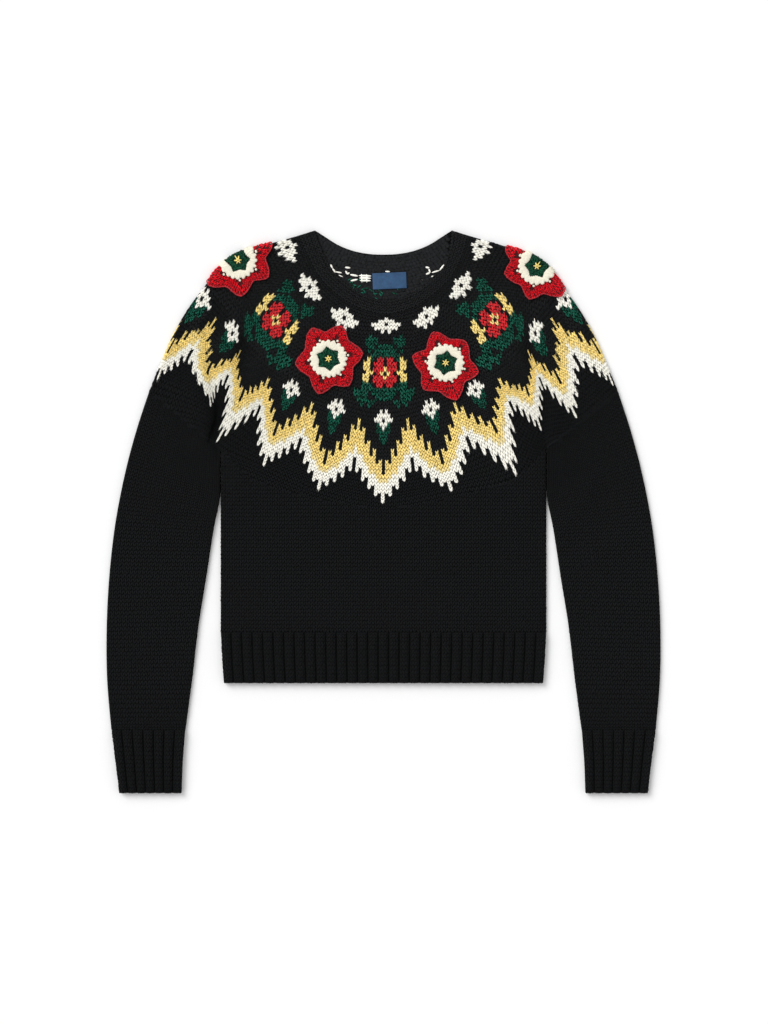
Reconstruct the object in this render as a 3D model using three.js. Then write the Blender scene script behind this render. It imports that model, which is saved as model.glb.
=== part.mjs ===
// A fair isle jumper laid flat with its front up, in millimetres.
// +X is to the right, +Y to the neck and +Z up. It lies on Z 0, with the middle of its outline at X 0, Y 0.
import * as THREE from "three";

// The knitted wall, and how the front layer lies on the back one
const WALL = 3;
const BACK_INSIDE = WALL;
const LAYERS_APART = 0.4;
const FRONT_FACE = 6.8;
const FOLD_MIDDLE = 3.4;
const INSIDE_FOLD = 3.2;
const FRONT_ROUND = 6;
const BACK_ROUND = 3;
const INSIDE_ROUND = 12;
const SEAM_GAP = 0.3;
// A slanted seam is parted by this much along Y, which leaves SEAM_GAP across it
const SLANTED_GAP = 0.45;

// Lengths that the pieces share
const BODY_HALF_WIDTH = 212;
const HEM_SEAM_Y = -157;
const HEM_EDGE_Y = -223;
const HEM_HALF_WIDTH = 208;
const CUFF_SEAM_Y = -284;
const CUFF_EDGE_Y = -366;

// Ribs: how many show across the front, and how far they stand out
const HEM_RIBS = 28;
const CUFF_RIBS = 7;
const NECK_RIBS = 34;
const RIB_HEIGHT = 1.6;
const NECK_RIB_HEIGHT = 0.7;
const POINTS_A_RIB = 4;
// Distances from a fold at which a ribbed band is sampled before its ribs begin
const RIB_EDGE_STEPS = [0.8, 2];

// Plan of the right half of the yoke, [x, y] on six spokes: the centre front, three pattern repeats,
// one past the crease that parts body from sleeve, and the fold along the shoulder and the sleeve.
const YOKE_FRONT = [
  { ring: "neck seam", at: [[0, 257], [31, 264.5], [58.5, 282], [81, 305.5], [98, 333], [110, 359.5]] },
  { ring: "flowers", at: [[0, 180], [47, 188], [94.5, 212.5], [138.5, 251], [173, 297], [194.5, 331]] },
  { ring: "buds", at: [[0, 118], [62.5, 132.5], [122, 157], [167, 186.5], [203, 232], [238.5, 286]] },
  { ring: "zigzag", at: [[0, 54], [76, 67.5], [143, 98], [190, 140], [228, 182], [273, 232]] },
  { ring: "lower seam", at: [[0, 2], [87.5, 17.5], [163, 40], [212, 80], [256, 114.5], [305.5, 155.5]] },
];
const CREASE_SPOKE = 3;
const FOLD_SPOKE = 5;

// Plan of the back of the yoke: its neck seam is higher, and its lower seam and folds are the front's.
const YOKE_BACK_NECK = [[0, 314], [24, 315.5], [48, 320], [70, 329.5], [91, 342.5], [110, 359.5]];

// Free edges of the neckband, on the same spokes
const NECK_EDGE_FRONT = [[0, 275], [26, 283], [48, 299.5], [66.5, 319.5], [80, 343], [89, 366]];
const NECK_EDGE_BACK = [[0, 334.5], [20, 335.5], [40, 339.5], [59, 347], [76, 357.5], [89, 366]];

// Cross-sections of the right sleeve from the yoke to the cuff: both edges of each, [x, y]
const SLEEVE = [
  { outer: [305.5, 155.5], inner: [212, 80] },
  { outer: [322, 105], inner: [212, 50] },
  { outer: [337, 48], inner: [212.5, 19] },
  { outer: [349.5, -17], inner: [221, -24] },
  { outer: [357, -83], inner: [230, -83] },
  { outer: [360.5, -150], inner: [240.5, -148] },
  { outer: [360, -217], inner: [248.5, -216] },
  { outer: [354.5, CUFF_SEAM_Y], inner: [257.5, CUFF_SEAM_Y] },
];
const CUFF = [
  { outer: [354.5, CUFF_SEAM_Y], inner: [257.5, CUFF_SEAM_Y] },
  { outer: [349, -325], inner: [261, -325] },
  { outer: [344, CUFF_EDGE_Y], inner: [262.5, CUFF_EDGE_Y] },
];

// Folds of the front layer: a soft ridge or trough along a line, with its height and half width
const FOLDS = [
  { name: "left crease in the yoke", from: [-225, 232], to: [-214, 84], height: -4.2, width: 6 },
  { name: "left sleeve beside its crease", from: [-243, 205], to: [-232, 95], height: 2.6, width: 15 },
  { name: "left body beside its crease", from: [-205, 205], to: [-194, 20], height: 2.3, width: 14 },
  { name: "right crease in the yoke", from: [207, 165], to: [212, 84], height: -3.4, width: 6 },
  { name: "right sleeve beside its crease", from: [229, 165], to: [232, 60], height: 2.2, width: 15 },
  { name: "right body beside its crease", from: [189, 150], to: [192, 20], height: 2, width: 14 },
  { name: "right sleeve, below the armpit", from: [236, -12], to: [283, 52], height: 2.4, width: 15 },
  { name: "right sleeve, above the elbow", from: [262, -66], to: [312, -34], height: 1.9, width: 15 },
  { name: "right sleeve, above the cuff", from: [278, -236], to: [322, -196], height: 1.7, width: 14 },
  { name: "left sleeve, below the armpit", from: [-238, -20], to: [-290, 34], height: 2, width: 16 },
  { name: "left sleeve, at the elbow", from: [-262, -104], to: [-322, -78], height: 1.7, width: 17 },
  { name: "left sleeve, above the cuff", from: [-276, -246], to: [-326, -222], height: 1.5, width: 14 },
  { name: "body, from the left armpit", from: [-190, 6], to: [-112, -62], height: 1.4, width: 22 },
  { name: "body, from the right armpit", from: [190, 10], to: [104, -48], height: 1.6, width: 20 },
  { name: "body, above the hem at the left", from: [-176, -132], to: [-60, -136], height: 1.3, width: 16 },
  { name: "body, above the hem at the right", from: [34, -134], to: [178, -131], height: 1.5, width: 16 },
];

// Crocheted flowers sewn on the front of the yoke: the centre, and the turn of the first point
const FLOWERS = [
  { name: "flower_front_left", centre: [-70.9, 198.3], turn: 7 },
  { name: "flower_front_right", centre: [81.3, 193], turn: -5 },
  { name: "flower_shoulder_left", centre: [-187.2, 321.7], turn: 22 },
  { name: "flower_shoulder_right", centre: [198.9, 317.9], turn: -20 },
];
const FLOWER_TIP = 45;
const FLOWER_NOTCH = 36;
const FLOWER_POINTS = 6;
const FLOWER_STEPS = 36;
const FLOWER_FROM_FOLD = 8;
const FOLD_TESTS = 60;
const FLOWER_SEAT = 0.4;
// Across a flower: share of its radius, and height above its seat
const FLOWER_PROFILE = [
  { name: "eye", out: 0.13, up: 4.6 },
  { name: "green star", out: 0.3, up: 4 },
  { name: "pale ring", out: 0.4, up: 5.2 },
  { name: "foot of the ring", out: 0.56, up: 3.4 },
  { name: "red star", out: 0.82, up: 3.8 },
  { name: "rim", out: 1, up: 1.6 },
];

const LABEL = { centre: [7.5, 300], size: [42, 21], thick: 0.8, tilt: 4 };

const COLOURS = { black: 0x17181b, red: 0xbe1928, blue: 0x28467f };

// Small helpers for numbers and plan points
const clamp = (value, low, high) => Math.min(Math.max(value, low), high);
const mix = (a, b, t) => a + (b - a) * t;
const mixPoint = (p, q, t) => [mix(p[0], q[0], t), mix(p[1], q[1], t)];
const apart = (p, q) => Math.hypot(p[0] - q[0], p[1] - q[1]);
const steps = (count) => Array.from({ length: count + 1 }, (_, i) => i / count);

// A smooth curve through plan points that are numbered from 0, at a place between them
function through(points, place) {
  const last = points.length - 1;
  const i = clamp(Math.floor(place), 0, last - 1);
  const t = place - i;
  const [a, b, c, d] = [-1, 0, 1, 2].map((k) => points[clamp(i + k, 0, last)]);
  return [0, 1].map((k) => {
    const bend = 2 * a[k] - 5 * b[k] + 4 * c[k] - d[k] + t * (3 * (b[k] - c[k]) + d[k] - a[k]);
    return b[k] + 0.5 * t * (c[k] - a[k] + t * bend);
  });
}

// Both halves of a ring from the points of its right half; spokes run from -5 on the left to 5 on the right
function ring(half) {
  const left = half.slice(1).reverse().map(([x, y]) => [-x, y]);
  const points = [...left, ...half];
  return (spoke) => through(points, spoke + FOLD_SPOKE);
}

// Height of the front layer's outer face, before it turns down at a fold
function frontFace([x, y]) {
  return FOLDS.reduce((height, fold) => {
    const along = [fold.to[0] - fold.from[0], fold.to[1] - fold.from[1]];
    const reach = (x - fold.from[0]) * along[0] + (y - fold.from[1]) * along[1];
    const t = clamp(reach / (along[0] ** 2 + along[1] ** 2), 0, 1);
    const away = apart([x, y], mixPoint(fold.from, fold.to, t)) / fold.width;
    return height + fold.height * Math.exp(-(away ** 2));
  }, FRONT_FACE);
}

// How far a layer has turned out of a fold: 0 on the fold, 1 past its rounding
const turned = (distance, round) => Math.sqrt(1 - (1 - Math.min(distance / round, 1)) ** 2);

// Outer and inner points of one layer across the cloth, from fold to fold
function layer(plan, height) {
  const from = plan.map((p) => apart(p, plan[0]));
  const to = plan.map((p) => apart(p, plan[plan.length - 1]));
  const inward = (index, start, far) => {
    const goal = plan[far];
    const length = apart(goal, plan[start]);
    return [0, 1].map((k) => plan[index][k] + ((goal[k] - plan[start][k]) / length) * shift(index));
  };
  const distance = plan.map((_, i) => Math.min(from[i], to[i]));
  const shift = (i) => WALL * Math.max(0, 1 - distance[i] / INSIDE_ROUND);
  const pastLeft = from.findIndex((d) => d >= INSIDE_ROUND);
  const pastRight = to.findLastIndex((d) => d >= INSIDE_ROUND);
  return plan.map((p, i) => {
    const onLeft = from[i] < to[i];
    const [x, y] = onLeft ? inward(i, 0, pastLeft) : inward(i, plan.length - 1, pastRight);
    const [outer, inner] = height(p, [x, y], distance[i], i);
    return { outer: [...p, outer], inner: [x, y, inner] };
  });
}

// The front layer of a section; `rib` gives how far a point stands out
function over(plan, rib = () => 0) {
  return layer(plan, (p, inside, distance, i) => {
    const face = frontFace(p) + rib(i);
    const lowest = BACK_INSIDE + LAYERS_APART;
    const inner = distance ? Math.max(frontFace(inside) - WALL, lowest) : INSIDE_FOLD;
    return [mix(FOLD_MIDDLE, face, turned(distance, FRONT_ROUND)), inner];
  });
}

// The back layer, flat on the surface, listed from the right fold to the left one
function under(plan) {
  const flat = (p, inside, distance) => [FOLD_MIDDLE * (1 - turned(distance, BACK_ROUND)), BACK_INSIDE];
  return layer(plan, flat).reverse();
}

// A tube laid flat shares its fold points between the layers
const tubeSection = (front, back) => [...front, ...back.slice(1, -1)];

// A panel ends at the side seams, half a gap above or below the fold's middle
function panelSection(points, side) {
  const z = FOLD_MIDDLE + (side * SEAM_GAP) / 2;
  const atSeam = ({ outer, inner }) => ({
    outer: [outer[0], outer[1], z],
    inner: [inner[0], inner[1], z],
  });
  return points.map((p, i) => (i === 0 || i === points.length - 1 ? atSeam(p) : p));
}

// A closed wall through its sections, each a list of outer and inner points, from the top one down
function wall(sections, closed) {
  const across = sections[0].length;
  const count = sections.length * across;
  const vertices = [
    ...sections.flat().map((p) => p.outer),
    ...sections.flat().map((p) => p.inner),
  ];
  const faces = [];
  const quad = (a, b, c, d) => faces.push(a, b, c, a, c, d);
  const at = (s, j) => s * across + (j % across);
  const spans = closed ? across : across - 1;
  for (let s = 0; s < sections.length - 1; s++) {
    for (let j = 0; j < spans; j++) {
      const [a, b, c, d] = [at(s, j), at(s, j + 1), at(s + 1, j + 1), at(s + 1, j)];
      quad(a, d, c, b);
      quad(a + count, b + count, c + count, d + count);
    }
    if (closed) continue;
    const [first, firstNext] = [at(s, 0), at(s + 1, 0)];
    const [last, lastNext] = [at(s, across - 1), at(s + 1, across - 1)];
    quad(first, first + count, firstNext + count, firstNext);
    quad(last, lastNext, lastNext + count, last + count);
  }
  const bottom = sections.length - 1;
  for (let j = 0; j < spans; j++) {
    quad(at(0, j), at(0, j + 1), at(0, j + 1) + count, at(0, j) + count);
    quad(at(bottom, j), at(bottom, j) + count, at(bottom, j + 1) + count, at(bottom, j + 1));
  }
  return shape(vertices, faces);
}

function shape(vertices, faces) {
  const geometry = new THREE.BufferGeometry();
  geometry.setAttribute("position", new THREE.Float32BufferAttribute(vertices.flat(), 3));
  geometry.setIndex(faces);
  geometry.computeVertexNormals();
  return geometry;
}

function mesh(name, geometry, colour, roughness = 0.95) {
  const material = new THREE.MeshStandardMaterial({ color: colour, roughness, metalness: 0 });
  const made = new THREE.Mesh(geometry, material);
  made.name = name;
  return made;
}

// Where the cloth is sampled across: spokes of the yoke, closer together by the crease and the fold
const BODY_SPOKES = [0, 0.36, 0.72, 1.08, 1.44, 1.8, 2.1, 2.36, 2.56, 2.72, 2.84, 2.93, 2.98, CREASE_SPOKE];
const SLEEVE_SPOKES = [CREASE_SPOKE, 3.03, 3.08, 3.18, 3.32, 3.52, 3.8, 4.1, 4.4, 4.68, 4.86, 4.94, 4.98, FOLD_SPOKE];
const BACK_BODY_SPOKES = [0, 0.45, 0.9, 1.35, 1.8, 2.2, 2.56, 2.84, 2.98, CREASE_SPOKE];
const BACK_SLEEVE_SPOKES = [CREASE_SPOKE, 3.03, 3.18, 3.5, 3.9, 4.3, 4.65, 4.86, 4.98, FOLD_SPOKE];

// The same places on both sides, from left to right
const bothSides = (spokes) => [...spokes.slice(1).reverse().map((s) => -s), ...spokes];
const FRONT_SPOKES = bothSides([...BODY_SPOKES, ...SLEEVE_SPOKES.slice(1)]);
const BACK_SPOKES = bothSides([...BACK_BODY_SPOKES, ...BACK_SLEEVE_SPOKES.slice(1)]);

const LOWER_SEAM = ring(YOKE_FRONT[YOKE_FRONT.length - 1].at);
const YOKE_RINGS = 10;

// The yoke, knitted in the round from the neck seam to where body and sleeves begin
function yoke() {
  const levels = YOKE_FRONT.length - 1;
  const lower = YOKE_FRONT[levels].at;
  const sections = steps(YOKE_RINGS).map((down) => {
    const spokeAt = (k) => through(YOKE_FRONT.map((row) => row.at[k]), down * levels);
    const front = [0, 1, 2, 3, 4, 5].map(spokeAt);
    const back = YOKE_BACK_NECK.map((neck, k) => mixPoint(neck, lower[k], down));
    back[FOLD_SPOKE] = front[FOLD_SPOKE];
    return tubeSection(over(FRONT_SPOKES.map(ring(front))), under(BACK_SPOKES.map(ring(back))));
  });
  return mesh("yoke", wall(sections, true), COLOURS.black);
}

const BODY_SECTIONS = 9;

// Front and back of the body, from the yoke's lower seam to the hem rib, seamed at both sides
function body(name, spokes, lay, side) {
  const sections = steps(BODY_SECTIONS).map((down) => {
    const plan = bothSides(spokes).map((spoke) => {
      const [x, seamY] = LOWER_SEAM(spoke);
      return [x, mix(seamY - SLANTED_GAP, HEM_SEAM_Y + SEAM_GAP / 2, down)];
    });
    return panelSection(lay(plan), side);
  });
  return mesh(name, wall(sections, false), COLOURS.black);
}

const SLEEVE_SECTIONS = 14;

// One section of a sleeve: it follows the yoke's seam at the top and is straight further down
function sleevePlan(spokes, down) {
  const inner = through(SLEEVE.map((s) => s.inner), down * (SLEEVE.length - 1));
  const outer = through(SLEEVE.map((s) => s.outer), down * (SLEEVE.length - 1));
  inner[0] = Math.max(inner[0], BODY_HALF_WIDTH + SEAM_GAP);
  const top = SLEEVE[0];
  const width = apart(top.inner, top.outer);
  return spokes.map((spoke) => {
    const seam = LOWER_SEAM(spoke);
    const share = apart(seam, top.inner) / width;
    const straight = mixPoint(top.inner, top.outer, share);
    const [x, y] = mixPoint(inner, outer, share);
    const fade = (1 - down) ** 6;
    const gap = mix(SLANTED_GAP, -SEAM_GAP / 2, down);
    return [x + (seam[0] - straight[0]) * fade, y + (seam[1] - straight[1]) * fade - gap];
  });
}

const mirrored = (plan) => plan.map(([x, y]) => [-x, y]).reverse();

function sleeve(name, onRight) {
  const sections = steps(SLEEVE_SECTIONS).map((down) => {
    const [front, back] = [SLEEVE_SPOKES, BACK_SLEEVE_SPOKES].map((spokes) => sleevePlan(spokes, down));
    return onRight
      ? tubeSection(over(front), under(back))
      : tubeSection(over(mirrored(front)), under(mirrored(back)));
  });
  return mesh(name, wall(sections, true), COLOURS.black);
}

// Where a ribbed band is sampled across: POINTS_A_RIB to a rib, and close to both folds
function ribPlaces(ribs, width) {
  const even = steps(ribs * POINTS_A_RIB).slice(1, -1);
  const [first, second] = RIB_EDGE_STEPS.map((distance) => distance / width);
  return [0, first, ...even.map((t) => mix(second, 1 - second, t)), 1 - first, 1];
}
const ribHeight = (ribs, height) => (t) => (height * (1 - Math.cos(2 * Math.PI * ribs * t))) / 2;
const FLAT_PLACES = [0, 0.01, 0.04, 0.14, 0.38, 0.62, 0.86, 0.96, 0.99, 1];

// A ribbed tube below a straight seam, through sections given by their two edges
function ribbedTube(name, edges, ribs) {
  const width = apart(...edges[0]);
  const places = ribPlaces(ribs, width);
  const rib = ribHeight(ribs, RIB_HEIGHT);
  const sections = edges.map(([left, right]) => {
    const at = (t) => mixPoint(left, right, t);
    return tubeSection(over(places.map(at), (i) => rib(places[i])), under(FLAT_PLACES.map(at)));
  });
  return mesh(name, wall(sections, true), COLOURS.black);
}

function hemRib() {
  const level = (y, half) => [[-half, y], [half, y]];
  const edges = [
    level(HEM_SEAM_Y - SEAM_GAP / 2, BODY_HALF_WIDTH),
    level(mix(HEM_SEAM_Y, HEM_EDGE_Y, 0.5), mix(BODY_HALF_WIDTH, HEM_HALF_WIDTH, 0.4)),
    level(HEM_EDGE_Y, HEM_HALF_WIDTH),
  ];
  return ribbedTube("hem_rib", edges, HEM_RIBS);
}

function cuff(name, onRight) {
  const edges = CUFF.map(({ inner, outer }, i) => {
    const down = i ? 0 : SEAM_GAP / 2;
    const [a, b] = [inner, outer].map(([x, y]) => [x, y - down]);
    return onRight ? [a, b] : [[-b[0], b[1]], [-a[0], a[1]]];
  });
  return ribbedTube(name, edges, CUFF_RIBS);
}

const NECK_SECTIONS = 2;
const NECK_BAND_DEPTH = 20;

// The ribbed neckband, in the round from the yoke's neck seam to its free edge, which ends the jumper
function neckband() {
  const round = steps(40).map((t) => ring(NECK_EDGE_FRONT)(mix(-FOLD_SPOKE, FOLD_SPOKE, t)));
  const length = round.slice(1).reduce((sum, p, i) => sum + apart(p, round[i]), 0);
  const shares = ribPlaces(NECK_RIBS, length);
  const places = shares.map((t) => mix(-FOLD_SPOKE, FOLD_SPOKE, t));
  const rib = ribHeight(NECK_RIBS, NECK_RIB_HEIGHT);
  const start = SEAM_GAP / NECK_BAND_DEPTH;
  const sections = steps(NECK_SECTIONS).reverse().map((share) => {
    const up = mix(start, 1, share);
    const between = (seam, edge) => ring(seam.map((p, k) => mixPoint(p, edge[k], up)));
    const front = places.map(between(YOKE_FRONT[0].at, NECK_EDGE_FRONT));
    const back = BACK_SPOKES.map(between(YOKE_BACK_NECK, NECK_EDGE_BACK));
    return tubeSection(over(front, (i) => rib(shares[i])), under(back));
  });
  return mesh("neckband", wall(sections, true), COLOURS.black);
}

// How far out a flower may reach along a direction before it comes to the shoulder fold
function reachToFold(centre, angle, wanted) {
  const foldPoints = YOKE_FRONT.map((row) => row.at[FOLD_SPOKE]);
  const folds = steps(FOLD_TESTS).map((t) => through(foldPoints, t * (foldPoints.length - 1)));
  const clear = (radius) => {
    const p = [Math.abs(centre[0] + radius * Math.cos(angle)), centre[1] + radius * Math.sin(angle)];
    const inside = folds.every(([x, y]) => p[0] < x || p[1] < y);
    return inside && folds.every((fold) => apart(fold, p) > FLOWER_FROM_FOLD);
  };
  return steps(FOLD_TESTS).map((t) => t * wanted).find((radius) => !clear(radius)) ?? wanted;
}

// A crocheted flower with six points, thicker at its pale ring, seated on the yoke
function flower({ name, centre, turn }) {
  const spot = (angle, radius) => [centre[0] + radius * Math.cos(angle), centre[1] + radius * Math.sin(angle)];
  const seat = (p) => frontFace(p) + FLOWER_SEAT;
  const angles = steps(FLOWER_STEPS).slice(0, -1).map((t) => t * 2 * Math.PI);
  const radii = angles.map((angle) => {
    const point = Math.abs(Math.cos((FLOWER_POINTS / 2) * (angle - THREE.MathUtils.degToRad(turn)))) ** 1.6;
    return reachToFold(centre, angle, mix(FLOWER_NOTCH, FLOWER_TIP, point));
  });
  const round = (out, up) => angles.map((angle, i) => {
    const p = spot(angle, radii[i] * out);
    return [...p, seat(p) + up];
  });
  const rings = [
    ...FLOWER_PROFILE.map(({ out, up }) => round(out, up)),
    ...[1, 0.5].map((out) => round(out, 0)),
  ];
  const middles = [FLOWER_PROFILE[0].up, 0].map((up) => [...centre, seat(centre) + up]);
  const vertices = [...rings.flat(), ...middles];
  const faces = [];
  const last = (rings.length - 1) * FLOWER_STEPS;
  const [top, base] = [vertices.length - 2, vertices.length - 1];
  for (let i = 0; i < FLOWER_STEPS; i++) {
    const next = (i + 1) % FLOWER_STEPS;
    faces.push(top, i, next, base, last + next, last + i);
    for (let r = 0; r < last; r += FLOWER_STEPS) {
      faces.push(r + i, r + FLOWER_STEPS + i, r + FLOWER_STEPS + next);
      faces.push(r + i, r + FLOWER_STEPS + next, r + next);
    }
  }
  return mesh(name, shape(vertices, faces), COLOURS.red, 0.9);
}

// The blank woven label inside the back of the neck
function label() {
  const geometry = new THREE.BoxGeometry(...LABEL.size, LABEL.thick);
  const made = mesh("neck_label", geometry, COLOURS.blue, 0.8);
  made.rotation.z = THREE.MathUtils.degToRad(LABEL.tilt);
  made.position.set(...LABEL.centre, BACK_INSIDE + SEAM_GAP + LABEL.thick / 2);
  return made;
}

const jumper = new THREE.Group();
jumper.add(
  yoke(),
  body("body_front", BODY_SPOKES, over, 1),
  body("body_back", BACK_BODY_SPOKES, under, -1),
  sleeve("sleeve_left", false),
  sleeve("sleeve_right", true),
  hemRib(),
  cuff("cuff_left", false),
  cuff("cuff_right", true),
  neckband(),
  ...FLOWERS.map(flower),
  label(),
);
export default jumper;
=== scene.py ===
import math

import bmesh
import bpy
import numpy as np
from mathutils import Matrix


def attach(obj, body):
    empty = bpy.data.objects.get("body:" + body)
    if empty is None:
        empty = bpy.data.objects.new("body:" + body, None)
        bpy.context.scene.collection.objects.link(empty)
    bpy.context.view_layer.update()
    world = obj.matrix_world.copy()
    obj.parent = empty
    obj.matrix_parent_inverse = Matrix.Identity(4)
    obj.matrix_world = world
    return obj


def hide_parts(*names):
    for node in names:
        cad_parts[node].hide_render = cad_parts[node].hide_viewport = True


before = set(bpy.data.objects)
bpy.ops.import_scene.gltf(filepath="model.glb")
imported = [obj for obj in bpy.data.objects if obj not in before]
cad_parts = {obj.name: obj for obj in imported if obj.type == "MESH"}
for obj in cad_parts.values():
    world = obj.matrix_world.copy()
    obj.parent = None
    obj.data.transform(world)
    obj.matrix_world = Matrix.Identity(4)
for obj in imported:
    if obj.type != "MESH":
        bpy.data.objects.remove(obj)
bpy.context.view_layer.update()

# Camera, floor and light. The jumper lies flat with its front up, and is seen from straight above.
# A pixel of the 768 by 1024 picture is 1.3 mm of cloth.
MM = 0.001
PIXEL = 1.3 * MM
PICTURE_LONG_SIDE = 1024
SENSOR = 36
LENS = 85
CLOTH_TOP = 7 * MM
camera_data = bpy.data.cameras.new("camera")
camera_data.lens = LENS
camera_data.sensor_width = SENSOR
camera = bpy.data.objects.new("camera", camera_data)
camera.location = (PIXEL / 2, -PIXEL / 2, CLOTH_TOP + PICTURE_LONG_SIDE * PIXEL * LENS / SENSOR)
bpy.context.collection.objects.link(camera)
bpy.context.scene.camera = camera


def srgb(red, green, blue):
    """A colour as seen on a screen, 0 to 255, in the linear values that a shader takes."""
    shares = [value / 255 for value in (red, green, blue)]
    return [s / 12.92 if s <= 0.04045 else ((s + 0.055) / 1.055) ** 2.4 for s in shares] + [1]


def fill_in(node, **settings):
    """A node with its inputs set, by their names with underscores for spaces."""
    for socket, value in settings.items():
        node.inputs[socket.replace("_", " ")].default_value = value
    return node


def new_material(name, **settings):
    """A material with its shader set, and its nodes, its links and its shader to work on."""
    made = bpy.data.materials.new(name)
    made.use_nodes = True
    nodes = made.node_tree.nodes
    return made, nodes, made.node_tree.links, fill_in(nodes["Principled BSDF"], **settings)


def as_piece(name, mesh, material):
    """A piece from a mesh that is already in place."""
    mesh.shade_smooth()
    mesh.materials.append(material)
    piece = bpy.data.objects.new(name, mesh)
    bpy.context.collection.objects.link(piece)
    return piece


def as_object(name, made, material):
    """A piece from a bmesh that is already in place."""
    mesh = bpy.data.meshes.new(name)
    made.to_mesh(mesh)
    made.free()
    return as_piece(name, mesh, material)


FLOOR_SIDE = 12
FLOOR_DROP = 0.5 * MM
FLOOR_TONE = (0.93, 0.93, 0.93, 1)
floor_paint = new_material("floor_paint", Base_Color=FLOOR_TONE, Roughness=0.9, Specular_IOR_Level=0.1)[0]
made = bmesh.new()
bmesh.ops.create_grid(made, x_segments=1, y_segments=1, size=FLOOR_SIDE / 2)
floor = as_object("floor", made, floor_paint)
floor.location.z = -FLOOR_DROP

world = bpy.data.worlds.new("studio")
world.use_nodes = True
fill_in(world.node_tree.nodes["Background"], Color=(1, 1, 1, 1), Strength=0.68)
bpy.context.scene.world = world
lamp_data = bpy.data.lights.new("soft_lamp", "SUN")
lamp_data.energy = 1.9
lamp_data.angle = math.radians(38)
lamp = bpy.data.objects.new("soft_lamp", lamp_data)
lamp.rotation_euler = (math.radians(-28), math.radians(-38), 0)
bpy.context.collection.objects.link(lamp)
bpy.context.scene.view_settings.view_transform = "Standard"

# How the cloth lies, in millimetres as in the solids: the front layer's face with its folds and creases,
# and the turn at each side fold. A fold is its two ends, its height and its half width.
FRONT_FACE = 6.8
FOLD_MIDDLE = 3.4
FRONT_ROUND = 6
BACK_ROUND = 3
BACK_TURN = 5
LOWEST_FACE = 4.2
FOLDS = [
    ((-228, 238), (-213, 70), -4.2, 6),
    ((-243, 205), (-232, 95), 2.6, 15),
    ((-205, 205), (-194, 20), 2.3, 14),
    ((207, 165), (212, 84), -3.4, 6),
    ((229, 165), (232, 60), 2.2, 15),
    ((189, 150), (192, 20), 2, 14),
    ((236, -12), (283, 52), 2.4, 15),
    ((262, -66), (312, -34), 1.9, 15),
    ((278, -236), (322, -196), 1.7, 14),
    ((-238, -20), (-290, 34), 2, 16),
    ((-262, -104), (-322, -78), 1.7, 17),
    ((-276, -246), (-326, -222), 1.5, 14),
    ((-190, 6), (-112, -62), 1.4, 22),
    ((190, 10), (104, -48), 1.6, 20),
    ((-176, -132), (-60, -136), 1.3, 16),
    ((34, -134), (178, -131), 1.5, 16),
]


def front_face(x, y):
    """Height of the front layer away from its side folds."""
    height = np.full(x.shape, FRONT_FACE)
    for start, end, rise, width in FOLDS:
        along = np.subtract(end, start)
        reach = (x - start[0]) * along[0] + (y - start[1]) * along[1]
        share = np.clip(reach / along.dot(along), 0, 1)
        away = np.hypot(x - start[0] - share * along[0], y - start[1] - share * along[1])
        height += rise * np.exp(-((away / width) ** 2))
    return np.maximum(height, LOWEST_FACE)


def lay(x, y, edges, front=True):
    """Points and outward directions of cloth laid over side folds, from its place in the plan.

    The edges are those of the right half, and each is listed with the cloth on its right-hand side.
    Cloth beyond an edge turns under it."""
    side = np.where(x < 0, -1, 1)
    across = np.abs(x)
    nearest = np.full(x.shape, np.inf)
    foot = np.zeros((2, x.size))
    inward = np.zeros((2, x.size))
    depth = np.zeros(x.size)
    for edge in edges:
        for start, end in zip(edge[:-1], edge[1:]):
            along = np.subtract(end, start)
            length = math.hypot(*along)
            from_start = np.array([across - start[0], y - start[1]])
            share = np.clip((from_start[0] * along[0] + from_start[1] * along[1]) / length**2, 0, 1)
            here = np.array([start[0] + share * along[0], start[1] + share * along[1]])
            gap = np.hypot(across - here[0], y - here[1])
            inside = from_start[0] * along[1] - from_start[1] * along[0] >= 0
            near = gap < nearest
            nearest = np.where(near, gap, nearest)
            foot = np.where(near, here, foot)
            inward = np.where(near, np.array([[along[1]], [-along[0]]]) / length, inward)
            depth = np.where(near, np.where(inside, gap, -gap), depth)
    above = depth >= 0
    rounding, turn_height = (FRONT_ROUND, front_face(x, y)) if front else (BACK_ROUND, 0)
    flat_out = 1 - np.clip(depth / rounding, 0, 1)
    upward = np.sqrt(1 - flat_out**2)
    past = np.maximum(-depth, 0)
    angle = np.minimum(past / BACK_TURN, 1) * math.pi / 2
    tucked = BACK_ROUND * (1 - np.cos(angle)) + np.maximum(past - BACK_TURN, 0)
    turned = foot + inward * tucked
    points = np.where(
        above,
        [across, y, FOLD_MIDDLE + (turn_height - FOLD_MIDDLE) * upward],
        [turned[0], turned[1], FOLD_MIDDLE * (1 - np.sin(angle))],
    )
    facing = 1 if front else -1
    outward = np.where(
        above,
        [-inward[0] * flat_out, -inward[1] * flat_out, facing * upward],
        [-inward[0] * np.cos(angle), -inward[1] * np.cos(angle), -np.sin(angle)],
    )
    points[0] *= side
    outward[0] *= side
    return points.T, outward.T


def through(points, place):
    """A smooth curve through points that are numbered from 0, at places between them."""
    points = np.asarray(points, float)
    index, weight = neighbours(np.asarray(place, float), len(points))
    return np.einsum("nk,nkc->nc", weight, points[index])


def neighbours(place, count):
    """The four numbered points round each place, and the share that each has in the curve there."""
    first = np.clip(np.floor(place).astype(int), 0, count - 2)
    t = place - first
    index = np.clip(first[:, None] + np.arange(-1, 3), 0, count - 1)
    shares = [-(t**3) + 2 * t**2 - t, 3 * t**3 - 5 * t**2 + 2, -3 * t**3 + 4 * t**2 + t, t**3 - t**2]
    return index, np.stack(shares, axis=1) / 2


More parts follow.
